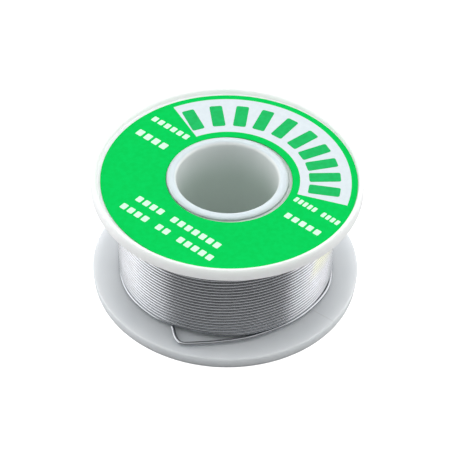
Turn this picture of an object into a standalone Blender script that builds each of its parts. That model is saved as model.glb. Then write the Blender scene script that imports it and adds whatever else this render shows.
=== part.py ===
"""A spool of flux-cored solder wire, standing on its lower flange.

The origin is at the middle of the underside and +Z runs up the spool's axis. All sizes are in metres.
A bore tube runs through two flanges and through the drum between them. The wire is wound on the drum,
and its free end lies round the foot of the pack, on the lower flange.
"""

from math import cos, pi, radians, sin

import bmesh
import bpy
from mathutils import Vector

MM = 0.001

# Driving dimensions
HEIGHT = 27.9 * MM
FLANGE_RADIUS = 28.0 * MM
RIM_THICKNESS = 2.8 * MM
WEB_THICKNESS = 1.65 * MM
BORE_RADIUS = 10.5 * MM
DRUM_RADIUS = 16.4 * MM
WIRE_RADIUS = 0.4 * MM
PACK_RADIUS = 22.6 * MM
LABEL_OUTER_RADIUS = 26.3 * MM
LABEL_INNER_RADIUS = 12.95 * MM
LABEL_THICKNESS = 0.15 * MM
LABEL_OFFSET = 0.35 * MM  # the label is stuck a little off centre, towards +X

# Flange details
RIM_DRAFT = 0.25 * MM  # the rim is this much smaller in radius by its crest than by its inner face
RIM_CREST_WIDTH = 0.3 * MM
RIM_OUTER_ROUND = (0.25 * MM, 0.6 * MM)  # an ellipse, across and up
RIM_INNER_ROUND = 0.3 * MM
RECESS_RADIUS = 26.8 * MM
COLLAR_OUTER_RADIUS = 14.8 * MM
COLLAR_INNER_RADIUS = 13.4 * MM
COLLAR_HEIGHT = 1.2 * MM
RECESS_HOLLOW = 0.1 * MM  # how far the recess's slope sags in its middle

# Bore tube details
TUBE_WALL = 1.5 * MM
LIP_RADIUS = 12.55 * MM
LIP_CREST_RADIUS = 11.4 * MM
LIP_CREST_HEIGHT = 0.45 * MM  # above the label
TUBE_LOWER_REACH = 0.4 * MM  # below the lower flange's web
TUBE_EDGE_ROUND = 0.3 * MM

# Drum details
DRUM_WALL = 1.4 * MM
RIB_COUNT = 6
RIB_THICKNESS = 1.2 * MM
RIB_END_CLEARANCE = 0.4 * MM
ANCHOR_HOLE_RADIUS = 0.6 * MM
ANCHOR_HOLE_DEPTH = 5.6 * MM
ANCHOR_HEIGHT = 7.0 * MM

# Wire details
FLUX_RADIUS = 0.148 * MM
FLUX_HOLE_RADIUS = 0.19 * MM
FOOT_STEP_RADIUS = 21.6 * MM  # the outer turns stop above the free end, so the pack's foot is stepped
FOOT_STEP_HEIGHT = 1.05 * MM
START_BEND = 1.0 * MM
START_LEG = 4.0 * MM
START_REACH = 13.6 * MM

# Fits between neighbours
GAP = 0.1 * MM
BORE_TUBE_GAP = 0.15 * MM
RIB_GAP = 0.3 * MM

# Fineness of the round shapes
SEGMENTS = 72
ANCHOR_HOLE_SEGMENTS = 16
WIRE_RESOLUTION = 2
SMALL_ROUND_STEPS = 2
ROUND_STEPS = 4
BEND_STEPS = 6
WELD_DISTANCE = 0.001 * MM

# Heights that the pieces share
LOWER_FACE = RIM_THICKNESS
UPPER_FACE = HEIGHT - RIM_THICKNESS
LABEL_BASE = UPPER_FACE + WEB_THICKNESS + GAP
LABEL_TOP = LABEL_BASE + LABEL_THICKNESS

# The free end's way round the pack's foot, clockwise from above: degrees from +X, then radius in mm.
FREE_END_ROUTE = [
    (238, 22.1), (224, 22.15), (209, 22.4), (199, 22.35), (185, 22.15), (170, 22.15), (120, 22.2),
    (70, 22.25), (30, 22.3), (5, 22.35), (-7, 22.4), (-18, 22.65), (-30, 22.4), (-38, 22.22), (-46, 22.14),
    (-55, 22.1), (-63, 22.2), (-70.5, 22.46), (-76, 22.74), (-81.5, 22.98), (-86.5, 23.25), (-91.5, 23.58),
    (-96.3, 24.06), (-101, 24.58), (-105.4, 25.23), (-107.9, 25.62), (-109.5, 25.72), (-110.9, 25.5),
    (-112.8, 24.9), (-115, 23.87), (-116.6, 22.95), (-118.2, 22.3),
]
FREE_END_SPACING = 2.3 * MM
FLUX_CUTTER_OVERRUN = 1.0 * MM


def clear_scene():
    for old in list(bpy.data.objects):
        bpy.data.objects.remove(old, do_unlink=True)


def new_collection(name):
    collection = bpy.data.collections.new(name)
    bpy.context.scene.collection.children.link(collection)
    return collection


def material(name, colour, roughness, metallic=0.0):
    made = bpy.data.materials.new(name)
    made.use_nodes = True
    shader = made.node_tree.nodes["Principled BSDF"]
    shader.inputs["Base Color"].default_value = (*colour, 1.0)
    shader.inputs["Roughness"].default_value = roughness
    shader.inputs["Metallic"].default_value = metallic
    return made


def arc(centre_r, centre_z, reach_r, reach_z, start, end, steps):
    """Points on a quarter of an ellipse, with angles in degrees from +r towards +z."""
    angles = [radians(start + (end - start) * step / steps) for step in range(steps + 1)]
    return [(centre_r + reach_r * cos(a), centre_z + reach_z * sin(a)) for a in angles]


def turned(name, profile, surface, collection):
    """A closed profile of (radius, height) points, down the outside and up the inside, turned about Z."""
    mesh = bpy.data.meshes.new(name)
    points = [(radius, 0.0, height) for radius, height in profile]
    edges = [(i, (i + 1) % len(points)) for i in range(len(points))]
    mesh.from_pydata(points, edges, [])
    mesh.materials.append(surface)
    piece = bpy.data.objects.new(name, mesh)
    collection.objects.link(piece)
    add_turn(piece)
    return piece


def add_turn(piece):
    screw = piece.modifiers.new("Turn", "SCREW")
    screw.axis = "Z"
    screw.angle = 2 * pi
    screw.steps = SEGMENTS
    screw.render_steps = SEGMENTS
    screw.use_merge_vertices = True
    screw.merge_threshold = 0.00001
    screw.use_smooth_shade = True


def flange_profile():
    """Height 0 is the inner face, and the label's recess is on top."""
    across, up = RIM_OUTER_ROUND
    inner = RIM_INNER_ROUND
    rim_edge = FLANGE_RADIUS - RIM_DRAFT - across
    crest_inner = rim_edge - RIM_CREST_WIDTH
    hole = BORE_RADIUS + TUBE_WALL + BORE_TUBE_GAP
    crest_corner = arc(rim_edge, RIM_THICKNESS - up, across, up, 90, 0, ROUND_STEPS)
    inner_corner = arc(FLANGE_RADIUS - inner, inner, inner, inner, 0, -90, ROUND_STEPS)
    inner_face = [
        (COLLAR_OUTER_RADIUS, 0.0),
        (COLLAR_OUTER_RADIUS, -COLLAR_HEIGHT),
        (COLLAR_INNER_RADIUS, -COLLAR_HEIGHT),
        (COLLAR_INNER_RADIUS, 0.0),
        (hole, 0.0),
    ]
    recess = [
        (hole, WEB_THICKNESS),
        (RECESS_RADIUS, WEB_THICKNESS),
        ((RECESS_RADIUS + crest_inner) / 2, (WEB_THICKNESS + RIM_THICKNESS) / 2 - RECESS_HOLLOW),
        (crest_inner, RIM_THICKNESS),
    ]
    return crest_corner + inner_corner + inner_face + recess


def make_flanges(surface, collection):
    upper = turned("upper_flange", flange_profile(), surface, collection)
    upper.location.z = UPPER_FACE
    lower = bpy.data.objects.new("lower_flange", upper.data)
    collection.objects.link(lower)
    add_turn(lower)
    lower.rotation_euler.x = pi
    lower.location.z = LOWER_FACE


def make_bore_tube(surface, collection):
    outside = BORE_RADIUS + TUBE_WALL
    crest = LABEL_TOP + LIP_CREST_HEIGHT
    bottom = RIM_THICKNESS - WEB_THICKNESS - TUBE_LOWER_REACH
    lip_outside = arc(
        LIP_CREST_RADIUS, LABEL_BASE, LIP_RADIUS - LIP_CREST_RADIUS, crest - LABEL_BASE, 90, 0, ROUND_STEPS
    )
    edge = TUBE_EDGE_ROUND
    lower_outside = arc(outside - edge, bottom + edge, edge, edge, 0, -90, SMALL_ROUND_STEPS)
    lower_mouth = arc(BORE_RADIUS + edge, bottom + edge, edge, edge, 270, 180, SMALL_ROUND_STEPS)
    mouth_round = LIP_CREST_RADIUS - BORE_RADIUS
    upper_mouth = arc(LIP_CREST_RADIUS, crest - mouth_round, mouth_round, mouth_round, 180, 90, ROUND_STEPS)
    profile = lip_outside + [(outside, LABEL_BASE)] + lower_outside + lower_mouth + upper_mouth[:-1]
    turned("bore_tube", profile, surface, collection)


def make_drum(surface, collection, cutters):
    """The drum has ribs that stop short of the bore tube, and a hole for the wire's inner end."""
    low = LOWER_FACE + GAP
    high = UPPER_FACE - GAP
    inside = DRUM_RADIUS - DRUM_WALL
    wall = [(DRUM_RADIUS, high), (DRUM_RADIUS, low), (inside, low), (inside, high)]
    drum = turned("winding_drum", wall, surface, collection)

    rib_low = LOWER_FACE + COLLAR_HEIGHT + RIB_END_CLEARANCE
    rib_high = UPPER_FACE - COLLAR_HEIGHT - RIB_END_CLEARANCE
    rib_inner = BORE_RADIUS + TUBE_WALL + RIB_GAP
    rib_outer = inside + DRUM_WALL / 2
    for index in range(RIB_COUNT):
        angle = 2 * pi * index / RIB_COUNT
        bpy.ops.mesh.primitive_cube_add(size=1.0)
        rib = bpy.context.active_object
        rib.name = f"rib_{index + 1}"
        rib.scale = (rib_outer - rib_inner, RIB_THICKNESS, rib_high - rib_low)
        middle = (rib_outer + rib_inner) / 2
        rib.location = (middle * cos(angle), middle * sin(angle), (rib_low + rib_high) / 2)
        rib.rotation_euler.z = angle
        use_as_tool(rib, cutters)
        combine(drum, rib, "UNION")

    bpy.ops.mesh.primitive_cylinder_add(
        vertices=ANCHOR_HOLE_SEGMENTS, radius=ANCHOR_HOLE_RADIUS, depth=ANCHOR_HOLE_DEPTH
    )
    hole = bpy.context.active_object
    hole.name = "anchor_hole"
    hole.rotation_euler.x = pi / 2
    hole.location = (0.0, inside + DRUM_WALL / 2, ANCHOR_HEIGHT)
    use_as_tool(hole, cutters)
    combine(drum, hole, "DIFFERENCE")


def use_as_tool(tool, cutters):
    for owner in list(tool.users_collection):
        owner.objects.unlink(tool)
    cutters.objects.link(tool)
    tool.hide_render = True
    tool.display_type = "WIRE"


def combine(piece, tool, operation):
    boolean = piece.modifiers.new(tool.name, "BOOLEAN")
    boolean.operation = operation
    boolean.solver = "EXACT"
    boolean.object = tool


def make_label(surface, collection):
    profile = [
        (LABEL_OUTER_RADIUS, LABEL_TOP),
        (LABEL_OUTER_RADIUS, LABEL_BASE),
        (LABEL_INNER_RADIUS, LABEL_BASE),
        (LABEL_INNER_RADIUS, LABEL_TOP),
    ]
    label = turned("upper_label", profile, surface, collection)
    label.location.x = LABEL_OFFSET


def make_winding(surface, collection):
    """The pack of turns as one ring, stepped at its foot where the free end goes round."""
    low = LOWER_FACE + GAP
    high = UPPER_FACE - GAP
    step = LOWER_FACE + FOOT_STEP_HEIGHT
    profile = [
        (PACK_RADIUS, high),
        (PACK_RADIUS, step),
        (FOOT_STEP_RADIUS, step),
        (FOOT_STEP_RADIUS, low),
        (DRUM_RADIUS + GAP, low),
        (DRUM_RADIUS + GAP, high),
    ]
    turned("solder_winding", profile, surface, collection)


def wire_curve(name, points, radius, surface, collection):
    """A round wire of this radius along a list of points."""
    curve = bpy.data.curves.new(name, "CURVE")
    curve.dimensions = "3D"
    curve.bevel_depth = radius
    curve.bevel_resolution = WIRE_RESOLUTION
    curve.use_fill_caps = True
    curve.materials.append(surface)
    spline = curve.splines.new("POLY")
    spline.points.add(len(points) - 1)
    for knot, point in zip(spline.points, points):
        knot.co = (*point, 1.0)
    wire = bpy.data.objects.new(name, curve)
    collection.objects.link(wire)
    return wire


def as_mesh(curve_object, collection):
    """The curve object's surface as a closed mesh object of the same name, in the curve's place."""
    bpy.context.view_layer.update()
    graph = bpy.context.evaluated_depsgraph_get()
    mesh = bpy.data.meshes.new_from_object(curve_object.evaluated_get(graph))
    welder = bmesh.new()
    welder.from_mesh(mesh)
    bmesh.ops.remove_doubles(welder, verts=welder.verts, dist=WELD_DISTANCE)
    welder.to_mesh(mesh)
    welder.free()
    name = curve_object.name
    place = curve_object.matrix_world.copy()
    bpy.data.objects.remove(curve_object, do_unlink=True)
    piece = bpy.data.objects.new(name, mesh)
    piece.matrix_world = place
    collection.objects.link(piece)
    return piece


def make_wire_start(surface, collection):
    """The inner end of the wire: in through the drum's wall towards -Y, then bent up inside the drum."""
    bend_angles = [pi / 2 * step / BEND_STEPS for step in range(BEND_STEPS + 1)]
    bend = [
        (0.0, START_REACH + START_BEND * (1 - sin(a)), ANCHOR_HEIGHT + START_BEND * (1 - cos(a)))
        for a in bend_angles
    ]
    leg_end = (0.0, START_REACH, ANCHOR_HEIGHT + START_BEND + START_LEG)
    points = [(0.0, DRUM_RADIUS, ANCHOR_HEIGHT)] + bend + [leg_end]
    wire_curve("wire_start", points, WIRE_RADIUS, surface, collection)


def smooth_between(before, start, end, after, t):
    """A Catmull-Rom curve from start to end."""
    return 0.5 * (
        2 * start
        + (end - before) * t
        + (2 * before - 5 * start + 4 * end - after) * t**2
        + (3 * start - before - 3 * end + after) * t**3
    )


def free_end_points():
    """The route as points along its centre, closer together at the sharp bend."""
    height = LOWER_FACE + GAP + WIRE_RADIUS
    route = [FREE_END_ROUTE[0], *FREE_END_ROUTE, FREE_END_ROUTE[-1]]
    points = []
    for before, start, end, after in zip(route, route[1:], route[2:], route[3:]):
        reach = Vector((radians(end[0] - start[0]) * end[1], end[1] - start[1])).length * MM
        steps = max(2, round(reach / FREE_END_SPACING))
        for step in range(steps):
            t = step / steps
            angle = radians(smooth_between(before[0], start[0], end[0], after[0], t))
            radius = smooth_between(before[1], start[1], end[1], after[1], t) * MM
            points.append(Vector((radius * cos(angle), radius * sin(angle), height)))
    angle, radius = radians(FREE_END_ROUTE[-1][0]), FREE_END_ROUTE[-1][1] * MM
    points.append(Vector((radius * cos(angle), radius * sin(angle), height)))
    return points


def make_free_end(alloy, flux, collection, cutters):
    """A sheath with a hole along it, and the flux core in the hole. Both turn about the spool's axis."""
    axis = bpy.data.objects.new("payoff_axis", None)
    collection.objects.link(axis)
    points = free_end_points()
    sheath = wire_curve("free_end_sheath", points, WIRE_RADIUS, alloy, collection)
    sheath = as_mesh(sheath, collection)
    first = points[0] + (points[0] - points[1]).normalized() * FLUX_CUTTER_OVERRUN
    last = points[-1] + (points[-1] - points[-2]).normalized() * FLUX_CUTTER_OVERRUN
    hole = wire_curve("flux_hole", [first, *points, last], FLUX_HOLE_RADIUS, alloy, cutters)
    hole = as_mesh(hole, cutters)
    use_as_tool(hole, cutters)
    combine(sheath, hole, "DIFFERENCE")
    core = wire_curve("free_end_flux", points, FLUX_RADIUS, flux, collection)
    core = as_mesh(core, collection)
    sheath.parent = axis
    core.parent = axis


def main():
    clear_scene()
    parts = new_collection("solder_wire_spool")
    cutters = new_collection("cutters")
    plastic = material("white_plastic", (0.80, 0.82, 0.83), 0.4)
    paper = material("green_label_paper", (0.0, 0.66, 0.11), 0.45)
    solder = material("solder_alloy", (0.55, 0.56, 0.59), 0.3, 1.0)
    rosin = material("rosin_flux", (0.72, 0.42, 0.10), 0.3)

    make_flanges(plastic, parts)
    make_bore_tube(plastic, parts)
    make_drum(plastic, parts, cutters)
    make_label(paper, parts)
    make_winding(solder, parts)
    make_wire_start(solder, parts)
    make_free_end(solder, rosin, parts, cutters)


main()
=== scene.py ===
"""A spool of flux-cored solder wire on a pale floor, in soft studio light.

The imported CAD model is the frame. The spool's mouldings, its label and every turn of the wire are built
here as finer pieces, in the places that the CAD nodes hold. Lengths are in metres and angles in degrees.
"""

from math import cos, hypot, pi, radians, sin, tan

import bpy
import numpy as np
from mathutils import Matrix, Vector


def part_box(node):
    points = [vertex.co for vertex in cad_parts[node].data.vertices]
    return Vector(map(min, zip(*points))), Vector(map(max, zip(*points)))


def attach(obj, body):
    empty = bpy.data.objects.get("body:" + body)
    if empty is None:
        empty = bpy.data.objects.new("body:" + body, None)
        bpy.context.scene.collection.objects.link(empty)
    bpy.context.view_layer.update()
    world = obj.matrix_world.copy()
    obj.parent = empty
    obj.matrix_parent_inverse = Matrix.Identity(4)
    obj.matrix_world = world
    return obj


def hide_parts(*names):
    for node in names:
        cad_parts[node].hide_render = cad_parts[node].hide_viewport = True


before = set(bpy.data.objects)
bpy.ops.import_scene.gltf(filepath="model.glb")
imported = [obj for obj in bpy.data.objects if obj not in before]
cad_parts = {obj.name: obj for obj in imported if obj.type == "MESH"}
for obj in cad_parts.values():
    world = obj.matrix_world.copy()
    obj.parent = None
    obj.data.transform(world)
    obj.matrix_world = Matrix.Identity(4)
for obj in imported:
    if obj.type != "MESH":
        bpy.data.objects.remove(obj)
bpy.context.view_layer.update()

MM = 0.001

# How finely things are made
LATHE_SEGMENTS = 256
EDGE_MARGIN = 0.12 * MM  # from the end of a straight stretch to its first added point
LONG_STRETCH = 0.45 * MM
NOISE_SPAN = (0.3, 0.7)  # where most of a noise's values lie

# The two moving bodies
SPOOL = "spool"
FREE_END = "free_end"

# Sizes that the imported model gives
_, FLANGE_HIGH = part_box("upper_flange")
LOWER_LOW, LOWER_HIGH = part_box("lower_flange")
LABEL_LOW, LABEL_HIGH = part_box("upper_label")
TUBE_LOW, TUBE_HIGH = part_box("bore_tube")
WIRE_LOW, WIRE_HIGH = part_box("free_end_sheath")
_, PACK_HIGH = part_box("solder_winding")

FLANGE_RADIUS = FLANGE_HIGH[0]
COLLAR_HEIGHT = 1.2 * MM
RIM_THICKNESS = LOWER_HIGH[2] - LOWER_LOW[2] - COLLAR_HEIGHT
LOWER_FACE = RIM_THICKNESS
UPPER_FACE = FLANGE_HIGH[2] - RIM_THICKNESS
LABEL_TOP = LABEL_HIGH[2]
LABEL_RADIUS = (LABEL_HIGH[0] - LABEL_LOW[0]) / 2
LABEL_CENTRE = ((LABEL_HIGH[0] + LABEL_LOW[0]) / 2, -0.2 * MM)  # it is stuck on a little towards the front
LIP_TOP = TUBE_HIGH[2]
LIP_RADIUS = TUBE_HIGH[0]
TUBE_BOTTOM = TUBE_LOW[2]
PACK_RADIUS = PACK_HIGH[0]
WIRE_RADIUS = (WIRE_HIGH[2] - WIRE_LOW[2]) / 2
FOOT_HEIGHT = (WIRE_HIGH[2] + WIRE_LOW[2]) / 2

# Flange details. A round with two sizes is part of an ellipse, across and up.
WEB_THICKNESS = 1.65 * MM
RECESS_FLOOR = UPPER_FACE + WEB_THICKNESS + 0.005 * MM  # just clear of the web, so that no faces coincide
RIM_DRAFT = 0.1 * MM  # the rim is this much smaller in radius by its crest than by its inner face
RIM_OUTER_ROUND = (0.35 * MM, 1.4 * MM)
CREST_INNER_ROUND = (0.75 * MM, 0.8 * MM)
RIM_INNER_ROUND = 0.3 * MM
RECESS_RADIUS = 26.8 * MM
RECESS_FILLET = 0.2 * MM
HUB_HOLE_RADIUS = 12.15 * MM
COLLAR_RADII = (13.4 * MM, 14.8 * MM)
KNIT_AZIMUTH = -36.2
KNIT_STARTS = (21.8 * MM, 23.8 * MM)  # radii where it begins, and where it is in full
KNIT_EDGES = (0.03 * MM, 0.13 * MM)  # from its middle to where it starts to fade, and to where it is gone
KNIT_WANDER = 0.3 * MM
KNIT_COLOUR_AMOUNT = 0.22
KNIT_DEPTH = 1.5  # as many times the mould grain's height

# Bore tube details
BORE_RADIUS = 10.5 * MM
TUBE_RADIUS = 12.0 * MM
LIP_CREST_RADIUS = 11.4 * MM
LIP_FLARE = 0.05 * MM
TUBE_EDGE_ROUND = 0.3 * MM

# Where the painted shade in the bore changes, as heights and as radii
BORE_SHADE_HEIGHTS = (LIP_TOP - 11.0 * MM, LIP_TOP - 1.0 * MM)
BORE_SHADE_RADII = (BORE_RADIUS + 0.05 * MM, BORE_RADIUS + 0.5 * MM)

# Label details: places are in the label's own axes, +x to the right and +y up, as its print is read
LABEL_HOLE_RADIUS = 12.95 * MM
LABEL_EDGE_ROUND = 0.05 * MM
LABEL_TURN = -38.8
PANEL_RADII = (14.5 * MM, 25.0 * MM)
PANEL_ANGLES = (22.1, 157.8)
PANEL_STEPS = 96
HEADLINE_RADII = (16.35 * MM, 22.85 * MM)
HEADLINE_WIDTH = 2.7 * MM
HEADLINE_ROUND = 0.5 * MM
HEADLINE_ANGLES = (152.4, 137.0, 122.4, 108.3, 93.5, 78.6, 65.6, 53.6, 42.0, 30.2)
PRINT_RISE = 0.01 * MM
BLOCK_MARGIN = 0.15  # on each side of a block, as a part of its cell
BLOCK_ROUND = 0.25 * MM
LINES = (  # left end, right end and baseline in mm, block height in mm, and blocks in each word
    (-24.4, -14.2, 3.3, 1.5, (6,)),
    (-24.1, -15.6, -2.1, 1.8, (4,)),
    (13.7, 25.3, 3.4, 1.4, (5, 4)),
    (15.1, 24.3, -1.5, 1.5, (5,)),
    (-10.6, 11.6, -17.4, 1.6, (4, 7)),
    (-11.6, 12.7, -21.0, 1.6, (4, 2, 5)),
)

# Where the label throws green light on the web round the lip
HUB_RADII = (LIP_RADIUS - 0.2 * MM, LABEL_HOLE_RADIUS + 0.6 * MM)
HUB_AMOUNTS = (0.6, 0.8)
HUB_FADE_RADII = (13.6 * MM, 14.0 * MM)

# Wire
FLUX_HOLE_RADIUS = 0.19 * MM
FLUX_RADIUS = 0.15 * MM
TURN_PITCH = 0.8 * MM
LAYER_PITCH = 0.75 * MM
LAYERS = 8
LAYER_TURN = 40.0  # each layer starts this much further round than the one outside it
CLIMB_ANGLES = (-145.0, -45.0)
WINDING_TILT = 0.1 * MM
WINDING_CLEARANCE = 0.1 * MM
SWAY = 0.006 * MM  # how uneven the turns are
SWAY_RATES = (0.31, 0.47, 0.83, 1.61, 2.3)  # swings a turn
OUTER_POINTS = 96  # a turn
INNER_POINTS = 32
FOOT_TURN_ANGLES = (-121.0, -80.0)  # where the outer layer's first turn starts, and where it is out in full
FOOT_TUCK = 0.8 * MM  # how much further in its start is
FOOT_TURN_RISE = 0.24 * MM
FOOT_TURN_GAP = 0.03 * MM  # between it and the free end
SECOND_LAYER_RISE = 1.75 * MM  # this layer starts higher, above the tucked first turn

# The free end's way round the foot of the pack, clockwise from above: degrees from +X, then radius in mm
FREE_END_ROUTE = (
    (242, 21.55), (238, 21.75), (232, 22.05), (224, 22.15), (209, 22.4), (199, 22.35), (185, 22.15),
    (170, 22.15), (120, 22.2), (70, 22.25), (30, 22.3), (5, 22.35), (-7, 22.4), (-18, 22.65), (-30, 22.4),
    (-38, 22.22), (-46, 22.14), (-55, 22.1), (-63, 22.2), (-70.5, 22.46), (-76, 22.74), (-81.5, 22.98),
    (-86.5, 23.25), (-91.5, 23.58), (-96.3, 24.06), (-101, 24.58), (-105.4, 25.23), (-107.9, 25.62),
    (-109.5, 25.72), (-110.9, 25.5), (-112.8, 24.9), (-115, 23.87), (-116.6, 22.95), (-118.2, 22.3),
)
FREE_END_STEP = 0.6  # mm between points
FREE_END_LEAST_STEPS = 5  # from one of the route's points to the next

# The wire's darkening towards the foot, and its stain
FOOT_DARKENING_HEIGHTS = (3.5 * MM, 10.0 * MM)  # it is darkest at the lower one
FOOT_DARKENING_AMOUNT = 0.25
STAIN_AMOUNT = 0.6
STAIN_ROUGHNESS = 0.06  # on top of the wire's own
STAIN_BOTTOM = 10.0 * MM
STAIN_EDGE_WANDER = 0.9 * MM
STAIN_FADE_HEIGHT = 5.0 * MM
STAIN_LEFT = -54.0  # at height 0
STAIN_SLANT = 0.9  # to the right, for each mm of height
STAIN_LEFT_FADE = 7.0
STAIN_RIGHT = (10.0, 16.0)  # where it starts to fade, and where it is gone

# Scales of the noises, in waves a metre
CLOUD_SCALE = 90.0
SPECK_SCALE = 160.0
SPECK_PATCH_SCALE = 47.0
GRAIN_SCALE = 2600.0
POLISH_SCALE = 420.0
KNIT_SCALE = 300.0
PAPER_SCALE = 300.0
TOOTH_SCALE = 4000.0
ROSIN_SCALE = 3000.0
FLOOR_SCALE = 40.0

# Specks in the plastic
SPECK_EDGES = (0.012, 0.02)  # distances from a speck's middle, as parts of the space between specks
SPECK_PATCHES = (0.55, 0.6)  # they are only where the patches' noise is above this
SPECK_AMOUNT = 0.5

# Colours. A pair holds the two ends of a material's own variation.
UPPER_WHITES = ((0.87, 0.88, 0.905, 1), (0.895, 0.905, 0.925, 1))
# Painted shade: the lower flange's white is darker and bluer than the upper flange's, for the shade it lies
# in under the upper flange.
LOWER_SHADED_WHITES = ((0.77, 0.82, 0.865, 1), (0.80, 0.85, 0.89, 1))
# Painted shade: the tube's white is a darker, greyer copy of the flanges' white.
LIP_SHADED_WHITES = ((0.57, 0.65, 0.69, 1), (0.60, 0.68, 0.72, 1))
BORE_SHADED_WHITES = ((0.60, 0.68, 0.635, 1), (0.86, 0.92, 0.91, 1))  # painted shade deep in the bore, and painted light at its mouth
HUB_PAINTED_GREEN = (0.56, 0.71, 0.64, 1)
SPECK_GREY = (0.33, 0.34, 0.33, 1)
KNIT_GREY = (0.42, 0.42, 0.40, 1)
LABEL_GREENS = ((0.0, 0.50, 0.077, 1), (0.0, 0.54, 0.09, 1))
HEADLINE_GREENS = ((0.002, 0.40, 0.09, 1), (0.004, 0.45, 0.11, 1))
PAPER_WHITES = ((0.60, 0.665, 0.70, 1), (0.63, 0.695, 0.73, 1))
PRINT_WHITES = ((0.55, 0.80, 0.62, 1), (0.62, 0.86, 0.68, 1))
SOLDER_GREYS = ((0.59, 0.605, 0.63, 1), (0.63, 0.645, 0.675, 1))
SOLDER_FOOT_DARK = (0.2, 0.21, 0.23, 1)
SOLDER_STAIN = (0.68, 0.69, 0.50, 1)
ROSIN_AMBERS = ((0.60, 0.30, 0.06, 1), (0.80, 0.50, 0.14, 1))
FLOOR_WHITES = ((0.93, 0.93, 0.93, 1), (0.95, 0.95, 0.95, 1))

# Camera, with its lens and sensor in mm
CAMERA_PLACE = (0.0, -334.8 * MM, 331.8 * MM)
CAMERA_AIM = (0.26 * MM, -7.1 * MM, 19.78 * MM)
CAMERA_ROLL = 1.49
CAMERA_LENS = 175.5
CAMERA_SENSOR = 36.0

# Light, with 1 as the exposure's white
FRONT_LIGHT = 0.1
BACK_LIGHT = 0.62
SKY_LIGHT = 0.5
SKY_BACK_RAMP = (-0.6, 0.1, FRONT_LIGHT, BACK_LIGHT)  # the direction's y at each end, and the light there
SKY_TOP_RAMP = (0.3, 0.65, 0.0, SKY_LIGHT)  # the same for its z
SOFTBOXES = (  # name, place, width and height, and brightness
    ("softbox_right", (0.60, 0.075, 0.22), (0.88, 0.42), 1.1),
    ("softbox_left", (-0.59, 0.095, 0.22), (1.13, 0.42), 1.18),
    ("softbox_top", (0.0, 0.08, 0.75), (0.6, 0.4), 2.5),
)
SOFTBOX_AIM = (0.0, 0.0, 15 * MM)
FLOOR_REACH = 3.0
FLOOR_DROP = 0.02 * MM
FLOOR_GLOW = 0.8
FLOOR_BOUNCE = 0.68  # the floor throws less light back at the spool than it shows
FLOOR_SHEEN_RAMP = (-32 * MM, -12 * MM, 0.08, 0.8)  # y at each end, and what the wire reflects there


# Shapes


def arc(centre_r, centre_z, reach_r, reach_z, start, end, steps):
    """Points on a stretch of an ellipse, with angles in degrees from +r towards +z."""
    turns = [radians(start + (end - start) * step / steps) for step in range(steps + 1)]
    return [(centre_r + reach_r * cos(a), centre_z + reach_z * sin(a)) for a in turns]


def between(start, end, steps):
    """The points inside a straight stretch of a profile, so that smooth shading keeps it flat."""
    length = hypot(end[0] - start[0], end[1] - start[1])
    near = min(EDGE_MARGIN / length, 0.25)
    fractions = [near] + [i / steps for i in range(1, steps)] + [1 - near]
    return [(start[0] + (end[0] - start[0]) * f, start[1] + (end[1] - start[1]) * f) for f in fractions]


def filled(profile, steps):
    """The profile with points added inside its longer straight stretches."""
    points = []
    for here, after in zip(profile, profile[1:] + profile[:1]):
        points.append(here)
        if hypot(after[0] - here[0], after[1] - here[1]) > LONG_STRETCH:
            points += between(here, after, steps)
    return points


def bands(rings, size, closed=False, base=0, inward=False):
    """The faces between rings of size points. closed joins the last ring to the first."""
    faces = []
    for i in range(rings if closed else rings - 1):
        a = base + i * size
        b = base + (i + 1) % rings * size
        if inward:
            a, b = b, a
        for k in range(size):
            m = (k + 1) % size
            faces.append((a + k, a + m, b + m, b + k))
    return faces


def new_object(name, vertices, faces, body, material, smooth=True):
    mesh = bpy.data.meshes.new(name)
    mesh.from_pydata([tuple(v) for v in vertices], [], [tuple(f) for f in faces])
    mesh.update()
    if smooth:
        mesh.polygons.foreach_set("use_smooth", [True] * len(mesh.polygons))
    mesh.materials.append(material)
    piece = bpy.data.objects.new(name, mesh)
    bpy.context.scene.collection.objects.link(piece)
    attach(piece, body)
    return piece


def lathe(name, profile, material, centre=(0.0, 0.0)):
    """A closed profile of (radius, height) points, turned about an upright axis through centre."""
    radius = np.array([p[0] for p in profile])
    height = np.array([p[1] for p in profile])
    turn = np.arange(LATHE_SEGMENTS) * 2 * pi / LATHE_SEGMENTS
    x = centre[0] + np.outer(np.cos(turn), radius)
    y = centre[1] + np.outer(np.sin(turn), radius)
    z = np.broadcast_to(height, x.shape)
    vertices = np.stack([x, y, z], -1).reshape(-1, 3)
    faces = bands(LATHE_SEGMENTS, len(profile), closed=True)
    return new_object(name, vertices, faces, SPOOL, material)


def tube(name, path, radius, sides, body, material, hole=0.0):
    """A round wire along a path that never stands upright, with a hole along it if hole is more than 0."""
    path = np.asarray(path)
    along = np.gradient(path, axis=0)
    along /= np.linalg.norm(along, axis=1)[:, None]
    side = np.cross(along, (0.0, 0.0, 1.0))
    side /= np.linalg.norm(side, axis=1)[:, None]
    above = np.cross(side, along)
    turn = np.arange(sides) * 2 * pi / sides
    across = np.cos(turn)[None, :, None] * side[:, None, :]
    ring = across + np.sin(turn)[None, :, None] * above[:, None, :]
    vertices = (path[:, None, :] + radius * ring).reshape(-1, 3)
    faces = bands(len(path), sides)
    last = (len(path) - 1) * sides
    if hole:
        base = len(vertices)
        inner = (path[:, None, :] + hole * ring).reshape(-1, 3)
        vertices = np.concatenate([vertices, inner])
        faces += bands(len(path), sides, base=base, inward=True)
        for k in range(sides):
            m = (k + 1) % sides
            faces.append((m, k, base + k, base + m))
            faces.append((last + k, last + m, base + last + m, base + last + k))
    else:
        faces.append(tuple(reversed(range(sides))))
        faces.append(tuple(last + k for k in range(sides)))
    return new_object(name, vertices, faces, body, material)


# Materials


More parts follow.
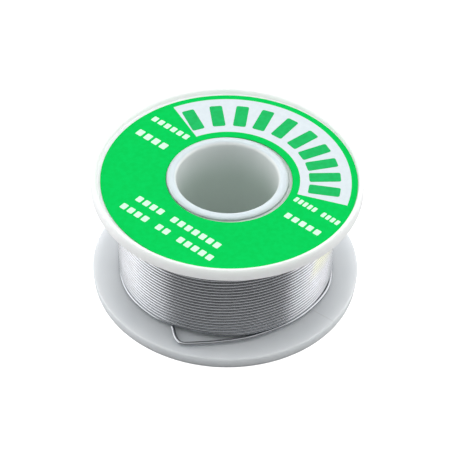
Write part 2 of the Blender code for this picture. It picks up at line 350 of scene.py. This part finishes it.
class Nodes:
    """A node tree, and short ways to add nodes to it."""

    def __init__(self, tree):
        self.tree = tree

    def feed(self, socket, value):
        if isinstance(value, bpy.types.NodeSocket):
            self.tree.links.new(value, socket)
        else:
            socket.default_value = value

    def node(self, kind, inputs=(), **settings):
        made = self.tree.nodes.new(kind)
        for key, value in settings.items():
            setattr(made, key, value)
        for key, value in dict(inputs).items():
            self.feed(made.inputs[key], value)
        return made

    def math(self, operation, a, b=0.0, c=0.0):
        return self.node("ShaderNodeMath", {0: a, 1: b, 2: c}, operation=operation).outputs[0]

    def times(self, a, b):
        return self.math("MULTIPLY", a, b)

    def parts(self, vector):
        return self.node("ShaderNodeSeparateXYZ", {0: vector}).outputs

    def ramp(self, value, low, high, from_value=0.0, to_value=1.0):
        """value's stretch from low to high, as from_value to to_value with soft ends."""
        inputs = {"Value": value, 1: low, 2: high, 3: from_value, 4: to_value}
        return self.node("ShaderNodeMapRange", inputs, interpolation_type="SMOOTHSTEP").outputs[0]


class Shader(Nodes):
    """A Principled material."""

    def __init__(self, name, **settings):
        self.made = bpy.data.materials.new(name)
        self.made.use_nodes = True
        super().__init__(self.made.node_tree)
        self.main = self.tree.nodes["Principled BSDF"]
        for key, value in settings.items():
            self.set(key.replace("_", " "), value)

    def set(self, name, value):
        self.feed(self.main.inputs[name], value)

    def place(self):
        return self.node("ShaderNodeTexCoord").outputs["Object"]

    def round_axis(self, place):
        """A place's azimuth in radians, its distance from the spool's axis, and its height."""
        x, y, z = self.parts(place)
        squares = self.math("ADD", self.times(x, x), self.times(y, y))
        return self.math("ARCTAN2", y, x), self.math("SQRT", squares), z

    def noise(self, vector, scale, detail=3.0, roughness=0.5):
        inputs = {"Vector": vector, "Scale": scale, "Detail": detail, "Roughness": roughness}
        return self.node("ShaderNodeTexNoise", inputs).outputs["Fac"]

    def stretched_noise(self, vector, scale, detail=3.0):
        stretched = self.node("ShaderNodeMapping", {"Vector": vector, "Scale": scale}).outputs["Vector"]
        return self.noise(stretched, 1.0, detail)

    def vary(self, noise, low=0.0, high=1.0):
        """The stretch that most of a noise's values lie in, as low to high."""
        return self.ramp(noise, *NOISE_SPAN, low, high)

    def mix(self, amount, a, b):
        return self.node("ShaderNodeMix", {0: amount, 6: a, 7: b}, data_type="RGBA").outputs[2]

    def bump(self, height, strength, distance):
        inputs = {"Height": height, "Strength": strength, "Distance": distance}
        self.set("Normal", self.node("ShaderNodeBump", inputs).outputs["Normal"])


def painted_bore_shade(s, place, colour):
    """Painted shade in the bore: its wall is darker with depth. The lip keeps its colour."""
    _, reach, z = s.round_axis(place)
    wall = s.mix(s.ramp(z, *BORE_SHADE_HEIGHTS), *BORE_SHADED_WHITES)
    return s.mix(s.ramp(reach, *BORE_SHADE_RADII), wall, colour)


def painted_green_cast(s, place, colour):
    """Painted shade and green light from the label, on the web round the lip, up to under the label's edge.
    """
    _, reach, _ = s.round_axis(place)
    amount = s.times(s.ramp(reach, *HUB_RADII, *HUB_AMOUNTS), s.ramp(reach, *HUB_FADE_RADII, 1.0, 0.0))
    return s.mix(amount, colour, HUB_PAINTED_GREEN)


def knit_line(s, place):
    """How much of the knit line there is at a place. It is a fine radial line that wanders a little."""
    x, y, _ = s.parts(place)
    turn = radians(KNIT_AZIMUTH)
    along = s.math("ADD", s.times(x, cos(turn)), s.times(y, sin(turn)))
    across = s.math("SUBTRACT", s.times(y, cos(turn)), s.times(x, sin(turn)))
    wander = s.math("MULTIPLY_ADD", s.noise(place, KNIT_SCALE), KNIT_WANDER, -KNIT_WANDER / 2)
    off = s.math("ABSOLUTE", s.math("ADD", across, wander))
    return s.times(s.ramp(off, *KNIT_EDGES, 1.0, 0.0), s.ramp(along, *KNIT_STARTS))


def plastic(name, whites, depth=4.0 * MM, shade=None, knit=False):
    """White moulded plastic that lets light in, with faint clouds, a fine mould grain and a few specks.

    depth is how far light scatters in it. shade paints light and shade into the colour in one place.
    """
    s = Shader(
        name,
        Subsurface_Weight=0.85,
        Subsurface_Radius=(1.0, 1.0, 1.0),
        Subsurface_Scale=depth,
        IOR=1.49,
    )
    place = s.place()
    colour = s.mix(s.vary(s.noise(place, CLOUD_SCALE, 2.0)), *whites)
    if shade:
        # Painted light and shade, where a shade is given
        colour = shade(s, place, colour)
    cells = s.node("ShaderNodeTexVoronoi", {"Vector": place, "Scale": SPECK_SCALE}).outputs
    patches = s.ramp(s.noise(place, SPECK_PATCH_SCALE), *SPECK_PATCHES)
    specks = s.times(s.ramp(cells["Distance"], *SPECK_EDGES, 1.0, 0.0), patches)
    colour = s.mix(s.times(specks, SPECK_AMOUNT), colour, SPECK_GREY)
    height = s.noise(place, GRAIN_SCALE, 2.0)
    if knit:
        line = knit_line(s, place)
        colour = s.mix(s.times(line, KNIT_COLOUR_AMOUNT), colour, KNIT_GREY)
        height = s.math("SUBTRACT", height, s.times(line, KNIT_DEPTH))
    s.set("Base Color", colour)
    s.set("Roughness", s.vary(s.noise(place, POLISH_SCALE), 0.3, 0.42))
    s.bump(height, 0.25, 0.03 * MM)
    return s.made


def printed_paper(name, colours, shine=0.15, mottle=(1100.0, 4.0, 0.5)):
    """Satin paper with a fine tooth, bare or inked. mottle is its noise's scale, detail and roughness."""
    s = Shader(name, IOR=1.45, Specular_IOR_Level=shine)
    place = s.place()
    s.set("Base Color", s.mix(s.vary(s.noise(place, *mottle)), *colours))
    s.set("Roughness", s.vary(s.noise(place, PAPER_SCALE), 0.42, 0.55))
    s.bump(s.noise(place, TOOTH_SCALE), 0.15, 0.02 * MM)
    return s.made


def solder(name, stained=False):
    """Drawn tin alloy: satin grey, with draw marks along the wire, and darker towards the foot of the pack.
    """
    s = Shader(name, Metallic=1.0)
    azimuth, reach, z = s.round_axis(s.place())
    wrapped = s.node("ShaderNodeCombineXYZ", {0: azimuth, 1: reach, 2: z}).outputs[0]
    marks = s.stretched_noise(wrapped, (3.0, 5000.0, 5000.0), 2.0)
    oxide = s.stretched_noise(wrapped, (9.0, 400.0, 700.0), 4.0)
    colour = s.mix(s.vary(oxide), *SOLDER_GREYS)
    # Darker towards the foot of the pack
    colour = s.mix(s.ramp(z, *FOOT_DARKENING_HEIGHTS, FOOT_DARKENING_AMOUNT, 0.0), colour, SOLDER_FOOT_DARK)
    roughness = s.vary(marks, 0.17, 0.2)
    if stained:
        stain = flux_stain(s, wrapped, azimuth, z)
        colour = s.mix(s.times(stain, STAIN_AMOUNT), colour, SOLDER_STAIN)
        roughness = s.math("MULTIPLY_ADD", stain, STAIN_ROUGHNESS, roughness)
    s.set("Base Color", colour)
    s.set("Roughness", roughness)
    s.bump(marks, 0.01, 0.01 * MM)
    return s.made


def flux_stain(s, wrapped, azimuth, z):
    """How much of the pale stain there is on the pack's front right. It has a slanting left side."""
    edge_noise = s.stretched_noise(wrapped, (6.0, 0.0, 500.0))
    edge = s.math("MULTIPLY_ADD", edge_noise, STAIN_EDGE_WANDER, STAIN_BOTTOM)
    above = s.ramp(s.math("SUBTRACT", z, edge), 0.0, STAIN_FADE_HEIGHT)
    left = s.math("MULTIPLY_ADD", z, radians(STAIN_SLANT) / MM, radians(STAIN_LEFT))
    side = s.ramp(s.math("SUBTRACT", azimuth, left), 0.0, radians(STAIN_LEFT_FADE))
    right = s.ramp(azimuth, *(radians(angle) for angle in STAIN_RIGHT), 1.0, 0.0)
    return s.times(s.times(above, side), right)


def rosin():
    """Amber rosin that lets a little light in."""
    s = Shader(
        "rosin_flux",
        Subsurface_Weight=0.3,
        Subsurface_Radius=(1.0, 0.5, 0.2),
        Subsurface_Scale=0.2 * MM,
    )
    cloud = s.noise(s.place(), ROSIN_SCALE)
    s.set("Base Color", s.mix(cloud, *ROSIN_AMBERS))
    s.set("Roughness", s.vary(cloud, 0.2, 0.4))
    return s.made


# Spool


def flange_profile():
    """A flange's outline. Height 0 is its inner face, and the recess for the label is on top."""
    across, up = RIM_OUTER_ROUND
    crest_across, crest_up = CREST_INNER_ROUND
    inner = RIM_INNER_ROUND
    fillet = RECESS_FILLET
    low_collar, high_collar = COLLAR_RADII
    rim_edge = FLANGE_RADIUS - RIM_DRAFT - across
    outline = arc(rim_edge, RIM_THICKNESS - up, across, up, 90, 0, 14)
    outline += arc(FLANGE_RADIUS - inner, inner, inner, inner, 0, -90, 12)
    outline += [
        (high_collar, 0.0),
        (high_collar, -COLLAR_HEIGHT),
        (low_collar, -COLLAR_HEIGHT),
        (low_collar, 0.0),
        (HUB_HOLE_RADIUS, 0.0),
        (HUB_HOLE_RADIUS, WEB_THICKNESS),
    ]
    outline += arc(RECESS_RADIUS - fillet, WEB_THICKNESS + fillet, fillet, fillet, 270, 360, 5)
    crest = arc(rim_edge, RIM_THICKNESS - crest_up, crest_across, crest_up, 180, 90, 14)
    return outline + crest[:-1]


def make_flanges():
    profile = filled(flange_profile(), 4)
    raised = [(r, UPPER_FACE + h) for r, h in profile]
    turned = [(r, LOWER_FACE - h) for r, h in reversed(profile)]
    # The upper flange's web gets painted green light and shade round the lip.
    upper_look = plastic("upper_flange_plastic", UPPER_WHITES, shade=painted_green_cast)
    # The lower flange gets the darker white, as painted shade.
    lower_look = plastic("lower_flange_plastic", LOWER_SHADED_WHITES, knit=True)
    upper = lathe("upper_flange_moulding", raised, upper_look)
    lower = lathe("lower_flange_moulding", turned, lower_look)
    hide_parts("upper_flange")
    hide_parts("lower_flange")


def make_bore_tube():
    crest = LIP_CREST_RADIUS
    mouth = crest - BORE_RADIUS
    edge = TUBE_EDGE_ROUND
    lip = arc(crest, RECESS_FLOOR, LIP_RADIUS - crest, LIP_TOP - RECESS_FLOOR, 90, 15, 14)
    lip.append((LIP_RADIUS + LIP_FLARE, RECESS_FLOOR))
    foot = arc(TUBE_RADIUS - edge, TUBE_BOTTOM + edge, edge, edge, 0, -90, 6)
    foot += arc(BORE_RADIUS + edge, TUBE_BOTTOM + edge, edge, edge, 270, 180, 6)
    top = arc(crest, LIP_TOP - mouth, mouth, mouth, 180, 90, 14)
    profile = filled(lip + [(TUBE_RADIUS, RECESS_FLOOR)] + foot + top[:-1], 8)
    # The tube's darker white and the darkening deeper in the bore are painted shade.
    look = plastic("tube_plastic", LIP_SHADED_WHITES, depth=2.5 * MM, shade=painted_bore_shade)
    piece = lathe("bore_tube_moulding", profile, look)
    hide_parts("bore_tube")


# Label


def on_label(x, y, rise):
    """The place of a point that is given in the label's own axes, rise above its face."""
    turn = radians(LABEL_TURN)
    across, up = LABEL_CENTRE
    return across + x * cos(turn) - y * sin(turn), up + x * sin(turn) + y * cos(turn), LABEL_TOP + rise


def sector(radii, angles, rise, steps):
    """Vertices and faces of a flat piece of a ring on the label."""
    vertices = []
    for i in range(steps + 1):
        a = radians(angles[0] + (angles[1] - angles[0]) * i / steps)
        vertices += [on_label(r * cos(a), r * sin(a), rise) for r in radii]
    return vertices, [(a, a + 1, a + 3, a + 2) for a in range(0, 2 * steps, 2)]


def rounded_block(corners, radius, rise):
    """The outline of a flat block with round corners. corners go anticlockwise in the label's own axes."""
    points = []
    for before, corner, after in zip(corners[-1:] + corners[:-1], corners, corners[1:] + corners[:1]):
        middle = Vector(corner)
        a = (Vector(before) - middle).normalized()
        b = (Vector(after) - middle).normalized()
        reach = radius / tan(a.angle(b) / 2)
        start = middle + a * reach
        end = middle + b * reach
        for f in (0.0, 0.2, 0.4, 0.6, 0.8, 1.0):
            q = start * (1 - f) ** 2 + middle * 2 * f * (1 - f) + end * f * f
            points.append(on_label(q.x, q.y, rise))
    return points


def headline_blocks():
    low, high = HEADLINE_RADII
    blocks = []
    for angle in HEADLINE_ANGLES:
        out = Vector((cos(radians(angle)), sin(radians(angle))))
        across = Vector((out.y, -out.x)) * HEADLINE_WIDTH / 2
        corners = [out * low - across, out * low + across, out * high + across, out * high - across]
        blocks.append(rounded_block(corners, HEADLINE_ROUND, 2 * PRINT_RISE))
    return blocks


def small_print_blocks():
    blocks = []
    for left, right, low, height, words in LINES:
        cell = (right - left) / (sum(words) + len(words) - 1)
        bottom, top = low * MM, (low + height) * MM
        at = left
        for word in words:
            for _ in range(word):
                x0, x1 = (at + BLOCK_MARGIN * cell) * MM, (at + (1 - BLOCK_MARGIN) * cell) * MM
                corners = [(x0, bottom), (x1, bottom), (x1, top), (x0, top)]
                blocks.append(rounded_block(corners, BLOCK_ROUND, PRINT_RISE))
                at += cell
            at += cell
    return blocks


def make_print(name, blocks, material):
    vertices, faces = [], []
    for block in blocks:
        faces.append(tuple(range(len(vertices), len(vertices) + len(block))))
        vertices += block
    new_object(name, vertices, faces, SPOOL, material, smooth=False)


def make_label():
    edge = LABEL_EDGE_ROUND
    profile = arc(LABEL_RADIUS - edge, LABEL_TOP - edge, edge, edge, 90, 0, 4)
    profile += [(LABEL_RADIUS, RECESS_FLOOR), (LABEL_HOLE_RADIUS, RECESS_FLOOR)]
    profile += arc(LABEL_HOLE_RADIUS + edge, LABEL_TOP - edge, edge, edge, 180, 90, 4)
    green = printed_paper("label_green", LABEL_GREENS, shine=0.03, mottle=(900.0, 4.0, 0.6))
    sheet = lathe("label_sheet", filled(profile, 6), green, LABEL_CENTRE)
    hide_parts("upper_label")

    vertices, faces = sector(PANEL_RADII, PANEL_ANGLES, PRINT_RISE, PANEL_STEPS)
    paper = printed_paper("label_white", PAPER_WHITES)
    new_object("label_white_panel", vertices, faces, SPOOL, paper, smooth=False)
    headline = printed_paper("label_headline_green", HEADLINE_GREENS)
    make_print("label_headline_blocks", headline_blocks(), headline)
    pale = printed_paper("label_pale_print", PRINT_WHITES)
    make_print("label_small_print_blocks", small_print_blocks(), pale)


# Wire


def height_of_turn(azimuth):
    """How high the wire is above the first turn's lowest place, at an azimuth that counts on in degrees.

    Each turn climbs to the next one across the front, and lies nearly level round the back.
    """
    turn = (azimuth - CLIMB_ANGLES[0]) / 360
    part = np.clip((turn - np.floor(turn)) * 360 / (CLIMB_ANGLES[1] - CLIMB_ANGLES[0]), 0, 1)
    turns = np.floor(turn) + part * part * (3 - 2 * part)
    return turns * TURN_PITCH + WINDING_TILT * np.cos(np.radians(azimuth))


def helix(radius, low, high, start, points_per_turn, rng, climbing=1):
    """A layer of turns between two heights, a little uneven. It rises anticlockwise if climbing is 1."""
    count = int(((high - low) / TURN_PITCH + 1) * points_per_turn)
    turns = np.arange(count) / points_per_turn
    azimuth = start + 360 * turns
    sway = sum(
        rng.uniform(-1, 1) * np.sin(rate * turns * 2 * pi + rng.uniform(0, 2 * pi)) for rate in SWAY_RATES
    )
    unevenness = SWAY * np.roll(sway, count // 3) * np.sin(pi * turns / turns[-1])
    z = low + height_of_turn(azimuth) + unevenness
    r = radius + SWAY * sway
    kept = np.cumsum(z > high) == 0
    angle = np.radians(azimuth) * climbing
    return np.stack([r * np.cos(angle), r * np.sin(angle), z], -1)[kept]


def tuck_foot(path, radius):
    """Moves the first turn's start in, so that it comes out from behind the second, above the free end."""
    start, end = FOOT_TURN_ANGLES
    azimuth = start + 360 * np.arange(len(path)) / OUTER_POINTS
    tucked = np.clip((end - azimuth) / (end - start), 0, 1)
    path[:, :2] *= (1 - tucked**2 * FOOT_TUCK / radius)[:, None]
    path[:, 2] = np.maximum(path[:, 2], FOOT_HEIGHT + 2 * WIRE_RADIUS + FOOT_TURN_GAP)


def make_winding():
    rng = np.random.default_rng(8)
    high = UPPER_FACE - WINDING_CLEARANCE - WIRE_RADIUS
    outer_radius = PACK_RADIUS - WIRE_RADIUS
    outer = helix(outer_radius, FOOT_HEIGHT + FOOT_TURN_RISE, high, FOOT_TURN_ANGLES[0], OUTER_POINTS, rng)
    tuck_foot(outer, outer_radius)
    look = solder("wound_solder", stained=True)
    skin = tube("outer_wire_layer", outer, WIRE_RADIUS, 12, SPOOL, look)
    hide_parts("solder_winding")
    inner_look = solder("inner_solder")
    for layer in range(1, LAYERS):
        radius = outer_radius - layer * LAYER_PITCH
        low = FOOT_HEIGHT + (SECOND_LAYER_RISE if layer == 1 else WINDING_TILT)
        start = CLIMB_ANGLES[0] + LAYER_TURN * layer
        path = helix(radius, low, high, start, INNER_POINTS, rng, -1 if layer % 2 else 1)
        piece = tube(f"inner_wire_layer_{layer}", path, WIRE_RADIUS, 8, SPOOL, inner_look)
        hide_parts("solder_winding")


def smooth_between(before, start, end, after, t):
    """A Catmull-Rom curve from start to end."""
    return 0.5 * (
        2 * start
        + (end - before) * t
        + (2 * before - 5 * start + 4 * end - after) * t**2
        + (3 * start - before - 3 * end + after) * t**3
    )


def free_end_path():
    points = []
    route = [FREE_END_ROUTE[0], *FREE_END_ROUTE, FREE_END_ROUTE[-1]]
    for before, start, end, after in zip(route, route[1:], route[2:], route[3:]):
        reach = hypot(radians(end[0] - start[0]) * end[1], end[1] - start[1])
        steps = max(FREE_END_LEAST_STEPS, round(reach / FREE_END_STEP))
        for step in range(steps):
            t = step / steps
            angle, radius = (smooth_between(*values, t) for values in zip(before, start, end, after))
            points.append((angle, radius))
    points.append(FREE_END_ROUTE[-1])
    return [(r * MM * cos(radians(a)), r * MM * sin(radians(a)), FOOT_HEIGHT) for a, r in points]


def make_free_end():
    path = free_end_path()
    look = solder("free_end_solder")
    hole = FLUX_HOLE_RADIUS
    wire = tube("free_end_wire", path, WIRE_RADIUS, 16, FREE_END, look, hole)
    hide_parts("free_end_sheath")
    core = tube("free_end_flux_core", path, FLUX_RADIUS, 8, FREE_END, rosin())
    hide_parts("free_end_flux")


def finish_hidden_nodes():
    """The CAD nodes that stay: the drum and the wire's inner end."""
    looks = {
        "winding_drum": plastic("drum_plastic", UPPER_WHITES),
        "wire_start": solder("wire_start_solder"),
    }
    for name, material in looks.items():
        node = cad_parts[name]
        node.data.materials.clear()
        node.data.materials.append(material)


# Setting


def aim(thing, target, roll=0.0):
    thing.rotation_euler = (Vector(target) - thing.location).to_track_quat("-Z", "Y").to_euler()
    thing.rotation_euler.rotate_axis("Z", radians(roll))


def make_camera():
    lens = bpy.data.cameras.new("camera")
    lens.lens = CAMERA_LENS
    lens.sensor_width = CAMERA_SENSOR
    lens.clip_start = 10 * MM
    camera = bpy.data.objects.new("camera", lens)
    bpy.context.scene.collection.objects.link(camera)
    camera.location = CAMERA_PLACE
    aim(camera, CAMERA_AIM, CAMERA_ROLL)
    bpy.context.scene.camera = camera


def make_softbox(name, place, size, brightness):
    """A rectangular light that looks as bright as brightness says, with 1 as the exposure's white."""
    light = bpy.data.lights.new(name, "AREA")
    light.shape = "RECTANGLE"
    light.size, light.size_y = size
    light.energy = brightness * pi * size[0] * size[1]
    lamp = bpy.data.objects.new(name, light)
    bpy.context.scene.collection.objects.link(lamp)
    lamp.location = place
    aim(lamp, SOFTBOX_AIM)


def make_floor():
    """A glowing white floor, which throws less light at the spool, and less still in front of it."""
    size = FLOOR_REACH
    mesh = bpy.data.meshes.new("floor")
    corners = [(-size, -size, 0.0), (size, -size, 0.0), (size, size, 0.0), (-size, size, 0.0)]
    mesh.from_pydata(corners, [], [(0, 1, 2, 3)])
    s = Shader("floor_white", Roughness=0.9, Emission_Color=(1, 1, 1, 1), Emission_Strength=FLOOR_GLOW)
    s.set("Base Color", s.mix(s.noise(s.place(), FLOOR_SCALE), *FLOOR_WHITES))
    path = s.node("ShaderNodeLightPath").outputs
    _, forward, _ = s.parts(s.place())
    sheen = s.ramp(forward, *FLOOR_SHEEN_RAMP)
    bounce = s.mix(path["Is Glossy Ray"], (*[FLOOR_BOUNCE] * 3, 1), sheen)
    grey = s.node("ShaderNodeBsdfDiffuse", {"Color": bounce}).outputs[0]
    looks = {0: path["Is Camera Ray"], 1: grey, 2: s.main.outputs[0]}
    look = s.node("ShaderNodeMixShader", looks).outputs[0]
    s.feed(s.tree.nodes["Material Output"].inputs["Surface"], look)
    mesh.materials.append(s.made)
    floor = bpy.data.objects.new("floor", mesh)
    floor.location.z = -FLOOR_DROP
    bpy.context.scene.collection.objects.link(floor)


def make_sky():
    """A white world that is brighter behind the spool and overhead than in front."""
    world = bpy.data.worlds.new("studio")
    world.use_nodes = True
    sky = Nodes(world.node_tree)
    direction = sky.parts(sky.node("ShaderNodeTexCoord").outputs["Generated"])
    backward = sky.ramp(direction["Y"], *SKY_BACK_RAMP)
    upward = sky.ramp(direction["Z"], *SKY_TOP_RAMP)
    background = sky.tree.nodes["Background"]
    sky.feed(background.inputs["Strength"], sky.math("ADD", backward, upward))
    sky.feed(background.inputs["Color"], (1.0, 1.0, 1.0, 1))
    bpy.context.scene.world = world


bpy.context.scene.view_settings.view_transform = "Standard"
make_camera()
make_flanges()
make_bore_tube()
make_label()
make_winding()
make_free_end()
finish_hidden_nodes()
make_floor()
make_sky()
for softbox in SOFTBOXES:
    make_softbox(*softbox)
